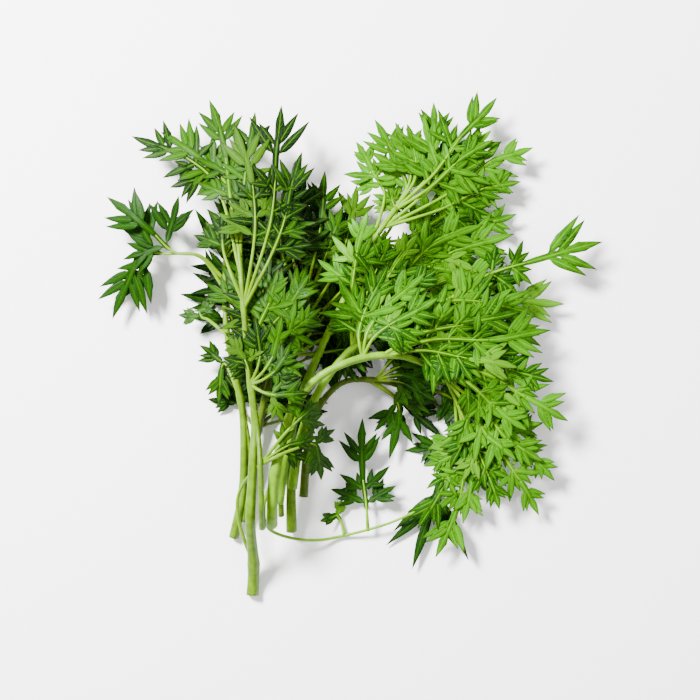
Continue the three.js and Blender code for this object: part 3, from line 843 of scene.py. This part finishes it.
def rachis_rows(leaf, starts, end):
    """The rows of the rachis' wing, from the end of the bare stalk to the end leaflet's base."""

    def row_at(share, half):
        here = rachis_stance(leaf, share)
        return here.root + here.left * half * ACROSS[:, None]

    stations = [(leaf["bare"], STALK_RADIUS[1])]
    for start in starts:
        stations += [(start, RACHIS_WING), (start + LEAFLET_BASE / leaf["path"].length, RACHIS_WING)]
    steps = np.linspace(0, 1, COLUMNS + 1)[1:]
    rows = [row_at(*stations[0])]
    for (share, half), (next_share, next_half) in zip(stations, stations[1:]):
        rows += [row_at(mix(share, next_share, step), mix(half, next_half, step)) for step in steps]
    last_row = end.root + end.left * RACHIS_WING * ACROSS[:, None]
    rows += [mix(rows[-1], last_row, step) for step in steps]
    return np.array(rows)


def leaf_blade(leaf, tone):
    """The green sheet of a leaf: the rachis' wing, its pairs of leaflets and its end leaflet."""
    sheet = Sheet()
    length = leaf["path"].length
    pairs = leaf["pairs"]
    gap = LEAFLET_GAP / length
    starts = [mix(leaf["bare"], 1, END_LEAFLET[pairs] * i / pairs) + gap for i in range(pairs)]
    root = rachis_stance(leaf, rachis_end(leaf)).root
    end_run = np.array([*leaf["path"].at(1), 0]) - root
    end = flat_stance(root, unit(end_run), leaf["roll"]).branch(root, 0, 0, math.radians(LEVEL_PITCH))
    rows = rachis_rows(leaf, starts, end)
    sheet.patch(rows, notes_for(rows, ACROSS * WING_ACROSS, RACHIS_ALONG, tone, 0))
    for i, start in enumerate(starts):
        here = rachis_stance(leaf, start + LEAFLET_BASE / (2 * length))
        lobes = 0 if i == pairs - 1 and i > 0 else 1
        for side in (1, -1):
            key = leaf["key"] * 31 + i * 5 + side
            angle = LEAFLET_ANGLE - LEAFLET_ANGLE_STEP * i + vary(key + 0.1, LEAFLET_ANGLE_SPREAD)
            roll = vary(key + 0.4, LEAFLET_ROLL_SPREAD)
            pitch = mix(-LEVEL_PITCH, LEVEL_PITCH, i / pairs) + vary(key + 0.2, LEAFLET_PITCH_SPREAD)
            own = here.branch(here.root, side * math.radians(angle), math.radians(roll), math.radians(pitch))
            reach = leaf["reach"] * REACH_SCALE * (1 - LEAFLET_SHRINK * i)
            reach *= 1 + vary(key + 0.5, LEAFLET_REACH_SPREAD)
            leaflet(sheet, edge_row(rows, COLUMNS * (2 * i + 1), side), own, reach, lobes, tone, key)
    leaflet(sheet, rows[-1], end, np.linalg.norm(end_run), leaf["lobes"], tone, leaf["key"] * 31 + 17)
    return sheet


def welded(sheet):
    """A sheet's points, notes and triangles, with the points at one place joined."""
    points = np.concatenate(sheet.points)
    _, keep, back = np.unique(np.round(points, 3), axis=0, return_index=True, return_inverse=True)
    faces = back.ravel()[np.concatenate(sheet.faces)]
    a, b, c = faces.T
    return points[keep], np.concatenate(sheet.notes)[keep], faces[(a != b) & (b != c) & (a != c)]


def point_normals(points, faces):
    normals = np.zeros(points.shape)
    a, b, c = (points[faces[:, i]] for i in range(3))
    flat = np.cross(b - a, c - a)
    for i in range(3):
        np.add.at(normals, faces[:, i], flat)
    size = np.linalg.norm(normals, axis=1, keepdims=True)
    return normals / np.maximum(size, 1e-12)


def rim_faces(faces, count):
    """The triangles that join the border of the upper side to the border of the lower one."""
    edges = np.concatenate([faces[:, [0, 1]], faces[:, [1, 2]], faces[:, [2, 0]]])
    codes = edges[:, 0] * count + edges[:, 1]
    a, b = edges[~np.isin(codes, edges[:, 1] * count + edges[:, 0])].T
    return np.concatenate([np.stack([a, a + count, b + count], 1), np.stack([a, b + count, b], 1)])


def blade_mesh(leaf, sheet):
    """A sheet as a thin closed solid: its points, triangles, notes and which triangles are its rim."""
    flat, notes, faces = welded(sheet)
    points = lift_points(leaf, flat)
    normals = point_normals(points, faces)
    rim = rim_faces(faces, len(points))
    solid = np.concatenate([points + normals * BLADE / 2, points - normals * BLADE / 2])
    every = np.concatenate([faces, faces[:, [0, 2, 1]] + len(points), rim])
    under = np.concatenate([1 - notes[:, 3], notes[:, 3]])
    sharp = np.concatenate([np.zeros(2 * len(faces), bool), np.ones(len(rim), bool)])
    return solid, every, np.column_stack([np.tile(notes[:, :3], (2, 1)), under]), sharp


def tube(centres, radii, sides, groove=0.0, ridges=5):
    """The points and triangles of a closed, grooved tube round a line of points, with flat ends."""
    ways = np.gradient(centres, axis=0)
    ways /= np.linalg.norm(ways, axis=1, keepdims=True)
    across = np.column_stack([ways[:, 1], -ways[:, 0], np.zeros(len(ways))])
    across /= np.linalg.norm(across, axis=1, keepdims=True)
    up = np.cross(across, ways)
    angles = np.arange(sides) / sides * 2 * math.pi
    ring = 1 + groove * np.cos(ridges * angles)
    points = (
        centres[:, None]
        + across[:, None] * (np.cos(angles) * ring * radii[:, None])[..., None]
        + up[:, None] * (np.sin(angles) * ring * radii[:, None])[..., None]
    )
    rings = len(centres)
    grid = np.arange(rings * sides).reshape(rings, sides)
    here, there = grid[:-1], grid[1:]
    first, last = rings * sides, rings * sides + 1
    faces = [
        np.stack([here, there, np.roll(there, -1, 1)], -1).reshape(-1, 3),
        np.stack([here, np.roll(there, -1, 1), np.roll(here, -1, 1)], -1).reshape(-1, 3),
        np.stack([np.full(sides, first), grid[0], np.roll(grid[0], -1)], -1),
        np.stack([np.full(sides, last), np.roll(grid[-1], -1), grid[-1]], -1),
    ]
    return np.concatenate([points.reshape(-1, 3), centres[[0, -1]]]), np.concatenate(faces)


def stem_tube(stem, leaves):
    """A ribbed stem that swells where leaves leave it."""
    path = stem["path"]
    count = max(3, math.ceil(path.length / STEM_SPACING))
    shares = np.arange(count + 1) / count
    flat = path.flat_points(shares)
    radii = mix(*stem["radius"], shares)
    for leaf in leaves:
        away = np.linalg.norm(flat[:, :2] - leaf["path"].at(0), axis=1)
        radii *= 1 + NODE_SWELLING * np.exp(-((away / NODE_LENGTH) ** 2))
    return tube(lift_points(stem, flat), radii * STEM_FULLNESS, STEM_SIDES, STEM_GROOVE)


def side_stem_tube(stem, places, radii):
    """A thin stem in the layer of a main one."""
    path = Path(places)
    shares = np.linspace(0, 1, math.ceil(path.length / STEM_SPACING) + 1)
    centres = lift_points(stem, path.flat_points(shares))
    return tube(centres, mix(*radii, shares), SIDE_STEM_SIDES, STALK_GROOVE)


def stalk_tube(leaf, parent):
    """A leaf's stalk and rachis. It climbs from inside what it grows on to the leaf's own layer."""
    bare = leaf["bare"] if leaf["pairs"] else 1
    end = rachis_end(leaf) if leaf["pairs"] else 1
    count = max(4, math.ceil(leaf["path"].length * end / STALK_SPACING))
    shares = end * np.arange(count + 1) / count
    flat = leaf["path"].flat_points(shares)
    thick = mix(*STALK_RADIUS, np.minimum(shares / bare, 1))
    radii = mix(thick, RACHIS_END, smooth((shares - bare) / max(end - bare, 0.01)))
    centres = lift_points(leaf, flat)
    near = parent["room"].cover(flat[:, :2])[1]
    climb = near * (1 - smooth(shares / min(bare, CLIMB_MOST)))
    centres[:, 2] = mix(centres[:, 2], heights(parent, flat, 0), climb)
    return tube(centres, radii, STALK_SIDES, STALK_GROOVE, STALK_RIDGES)


class Body:
    """Points, triangles and notes of one piece, gathered part by part."""

    def __init__(self):
        self.points = []
        self.faces = []
        self.notes = []
        self.slots = []
        self.sharp = []
        self.count = 0

    def add(self, points, faces, notes, sharp, slot):
        self.points.append(points)
        self.faces.append(faces + self.count)
        self.notes.append(notes)
        self.slots.append(np.full(len(faces), slot))
        self.sharp.append(sharp)
        self.count += len(points)

    def add_tube(self, shape, slot, tone):
        points, faces = shape
        points[:, 2] = np.maximum(points[:, 2], 0)
        notes = np.zeros((len(points), len(NOTES)))
        notes[:, NOTES.index("tone")] = tone
        notes[-2:, NOTES.index("along")] = 1
        self.add(points, faces, notes, np.zeros(len(faces), bool), slot)

    def add_leaf(self, leaf, parent, slot):
        self.add_tube(stalk_tube(leaf, parent), STEM_SLOT, STALK_TONE)
        if not leaf["pairs"]:
            return
        tone = LEAF_TONE + vary(leaf["key"] + 0.35, LEAF_TONE_SPREAD)
        sheet = leaf_blade(leaf, tone)
        self.add(*blade_mesh(leaf, sheet), slot)
        for rib in sheet.ribs:
            radii = np.linspace(*RIB_RADIUS, len(rib))
            self.add_tube(tube(lift_points(leaf, rib), radii, RIB_SIDES), slot, tone + RIB_TONE)


def piece_from(body, name, materials):
    """A mesh object made from a body, in metres, with its notes as attributes of its points."""
    mesh = bpy.data.meshes.new(name)
    points = np.concatenate(body.points) / METRE
    faces = np.concatenate(body.faces)
    mesh.from_pydata(points.tolist(), [], faces.tolist())
    mesh.polygons.foreach_set("use_smooth", ~np.concatenate(body.sharp))
    for material in materials:
        mesh.materials.append(material)
    mesh.polygons.foreach_set("material_index", np.concatenate(body.slots).astype(np.int32))
    notes = np.concatenate(body.notes)
    for i, label in enumerate(NOTES):
        mesh.attributes.new(label, "FLOAT", "POINT").data.foreach_set("value", notes[:, i].copy())
    mesh.update()
    piece = bpy.data.objects.new(name, mesh)
    bpy.context.scene.collection.objects.link(piece)
    return piece


def opaque(colour):
    return (*colour, 1)


class Nodes:
    """Short calls for building a material's node tree."""

    def __init__(self, name, settings):
        self.material = bpy.data.materials.new(name)
        self.material.use_nodes = True
        self.tree = self.material.node_tree
        self.shader = self.tree.nodes["Principled BSDF"]
        for label, value in settings.items():
            self.shader.inputs[label].default_value = value

    def feed(self, socket, value):
        if isinstance(value, bpy.types.NodeSocket):
            self.tree.links.new(value, socket)
        else:
            socket.default_value = value

    def note(self, label):
        node = self.tree.nodes.new("ShaderNodeAttribute")
        node.attribute_name = label
        return node.outputs["Fac"]

    def math(self, operation, a, b=0.0):
        node = self.tree.nodes.new("ShaderNodeMath")
        node.operation = operation
        self.feed(node.inputs[0], a)
        self.feed(node.inputs[1], b)
        return node.outputs[0]

    def times(self, a, b):
        return self.math("MULTIPLY", a, b)

    def ranged(self, value, edge, to=(0.0, 1.0)):
        node = self.tree.nodes.new("ShaderNodeMapRange")
        node.interpolation_type = "SMOOTHSTEP"
        self.feed(node.inputs["Value"], value)
        for label, number in zip(("From Min", "From Max", "To Min", "To Max"), (*edge, *to)):
            node.inputs[label].default_value = number
        return node.outputs["Result"]

    def blend(self, share, a, b):
        node = self.tree.nodes.new("ShaderNodeMix")
        node.data_type = "RGBA"
        self.feed(node.inputs["Factor"], share)
        self.feed(node.inputs["A"], a)
        self.feed(node.inputs["B"], b)
        return node.outputs["Result"]

    def noise(self, scale, detail=2.0):
        place = self.tree.nodes.new("ShaderNodeTexCoord")
        node = self.tree.nodes.new("ShaderNodeTexNoise")
        node.inputs["Scale"].default_value = scale
        node.inputs["Detail"].default_value = detail
        self.tree.links.new(place.outputs["Object"], node.inputs["Vector"])
        return node.outputs["Fac"]

    def bump(self, height, strength):
        node = self.tree.nodes.new("ShaderNodeBump")
        node.inputs["Strength"].default_value = strength
        node.inputs["Distance"].default_value = BUMP_DEPTH
        self.tree.links.new(height, node.inputs["Height"])
        self.tree.links.new(node.outputs["Normal"], self.shader.inputs["Normal"])


def side_veins(nodes, across, along):
    """Slanting veins that fade out before the edge."""
    slant = nodes.math("SUBTRACT", nodes.times(along, VEIN_COUNT), nodes.times(across, VEIN_SLANT))
    wave = nodes.math("ABSOLUTE", nodes.math("SUBTRACT", nodes.math("FRACT", slant), 0.5))
    return nodes.times(nodes.ranged(wave, (0.0, VEIN_HALF), (VEIN, 0.0)), nodes.ranged(across, VEIN_FADE))


def leaf_material(name, dark, light, vein, pale):
    """Green blade: mottled tone, pale midrib and side veins, dark margin, paler underneath, brown tip."""
    nodes = Nodes(name, BLADE_SHADER)
    across = nodes.math("ABSOLUTE", nodes.note("across"))
    along = nodes.note("along")
    mottle = nodes.times(nodes.math("SUBTRACT", nodes.noise(MOTTLE_SCALE), 0.5), MOTTLE)
    tone = nodes.math("ADD", nodes.note("tone"), mottle)
    veins = side_veins(nodes, across, along)
    midrib = nodes.times(nodes.ranged(across, MIDRIB_EDGE, (MIDRIB, 0.0)), nodes.ranged(along, MIDRIB_FADE))
    margin = nodes.times(nodes.ranged(across, MARGIN_EDGE), nodes.ranged(along, MARGIN_START, (0.0, MARGIN)))
    colour = nodes.blend(nodes.ranged(tone, (0.0, 1.0)), opaque(dark), opaque(light))
    colour = nodes.blend(nodes.times(nodes.note("under"), UNDERSIDE), colour, opaque(pale))
    colour = nodes.blend(veins, colour, opaque(vein))
    colour = nodes.blend(midrib, colour, opaque(vein))
    colour = nodes.blend(margin, colour, opaque(dark))
    colour = nodes.blend(nodes.ranged(along, BROWN_TIP_EDGE, (0.0, BROWN_TIP)), colour, opaque(TIP_COLOUR))
    nodes.feed(nodes.shader.inputs["Base Color"], colour)
    nodes.feed(nodes.shader.inputs["Roughness"], nodes.ranged(tone, (0.0, 1.0), BLADE_ROUGHNESS))
    grain = nodes.times(nodes.noise(BLADE_GRAIN_SCALE), BLADE_GRAIN)
    nodes.bump(nodes.math("ADD", veins, grain), BLADE_BUMP)
    return nodes.material


def stem_material(name, dark, light):
    """Streaked green stem with pale cut ends."""
    nodes = Nodes(name, STEM_SHADER)
    streaks = nodes.times(nodes.noise(STREAK_SCALE, STREAK_DETAIL), STREAK)
    tone = nodes.math("ADD", nodes.note("tone"), streaks)
    colour = nodes.blend(nodes.ranged(tone, STREAK_EDGE), opaque(dark), opaque(light))
    colour = nodes.blend(nodes.note("along"), colour, opaque(CUT_END_COLOUR))
    nodes.feed(nodes.shader.inputs["Base Color"], colour)
    nodes.bump(nodes.noise(STEM_GRAIN_SCALE, STEM_GRAIN_DETAIL), STEM_BUMP)
    return nodes.material


def shoot_body(shoot):
    """All of one leafy stem: the stem, its side stems, and its leaves with the extra ones."""
    body = Body()
    body.add_tube(stem_tube(shoot["stem"], shoot["leaves"]), STEM_SLOT, STEM_TONE)
    for places, radii in SIDE_STEMS.get(shoot["name"], []):
        body.add_tube(side_stem_tube(shoot["stem"], places, radii), STEM_SLOT, SIDE_STEM_TONE)
    for i, leaf in enumerate(shoot["leaves"] + shoot["extras"]):
        parent = shoot["stem"] if leaf["on"] is None else shoot["leaves"][leaf["on"]]
        # The listed dark leaves take the third slot, the shaded blade of painted shade.
        body.add_leaf(leaf, parent, PAINTED_SHADE_SLOT if (shoot["name"], i) in PAINTED_SHADE_LEAVES else BLADE_SLOT)
    return body


def soft_light(name, place, size, power):
    """A round soft light that looks at the frame's origin."""
    light = bpy.data.lights.new(name, "AREA")
    light.shape = "DISK"
    light.size = size
    light.energy = power
    lamp = bpy.data.objects.new(name, light)
    lamp.location = place
    way = -np.array(place)
    yaw = math.atan2(way[1], way[0])
    tilt = math.acos(-way[2] / np.linalg.norm(way))
    lamp.rotation_euler = (0, -tilt, yaw)
    bpy.context.scene.collection.objects.link(lamp)


def sky():
    world = bpy.data.worlds.new("studio")
    world.use_nodes = True
    world.node_tree.nodes["Background"].inputs["Color"].default_value = (1, 1, 1, 1)
    world.node_tree.nodes["Background"].inputs["Strength"].default_value = SKY_STRENGTH
    bpy.context.scene.world = world


def table_top():
    mesh = bpy.data.meshes.new("table_top")
    corners = [(TABLE_HALF * x, TABLE_HALF * y, 0) for x, y in ((-1, -1), (1, -1), (1, 1), (-1, 1))]
    mesh.from_pydata(corners, [], [(0, 1, 2, 3)])
    mesh.materials.append(Nodes("table_white", TABLE_SHADER).material)
    top = bpy.data.objects.new("table_top", mesh)
    bpy.context.scene.collection.objects.link(top)


def camera_above():
    lens = bpy.data.cameras.new("camera")
    lens.lens = LENS
    lens.sensor_width = SENSOR
    lens.clip_start = NEAREST
    eye = bpy.data.objects.new("camera", lens)
    eye.location = (*on_table(PICTURE_CENTRE) / METRE, PICTURE_LEVEL + PICTURE_WIDTH * LENS / SENSOR)
    bpy.context.scene.collection.objects.link(eye)
    bpy.context.scene.camera = eye


# All stems and leaves from low to high.
PILE = []
for order, shoot in enumerate(SHOOTS):
    PILE += lay_out(shoot, order)
for order, layer in enumerate(PILE):
    layer["order"] = order
for order, shoot in enumerate(SHOOTS):
    sisters = sister_leaves(shoot, SISTER_KEY + order * KEYS_EACH)
    shoot["extras"] = [*sisters, *side_leaves(shoot, SIDE_KEY + order * KEYS_EACH)]

blades = {look: leaf_material("leaf_" + look, *colours) for look, colours in BLADE_COLOURS.items()}
stems = {look: stem_material("stem_" + look, *colours) for look, colours in STEM_COLOURS.items()}

for shoot in SHOOTS:
    look = shoot["look"]
    # The third slot is the shaded blade, painted shade.
    materials = [blades[look], stems[look], blades["shaded"]]
    piece = piece_from(shoot_body(shoot), shoot["name"] + "_fine", materials)
    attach(piece, "root")
    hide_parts(shoot["name"])

table_top()
camera_above()
soft_light("key", **KEY_LIGHT)
soft_light("fill", **FILL_LIGHT)
sky()
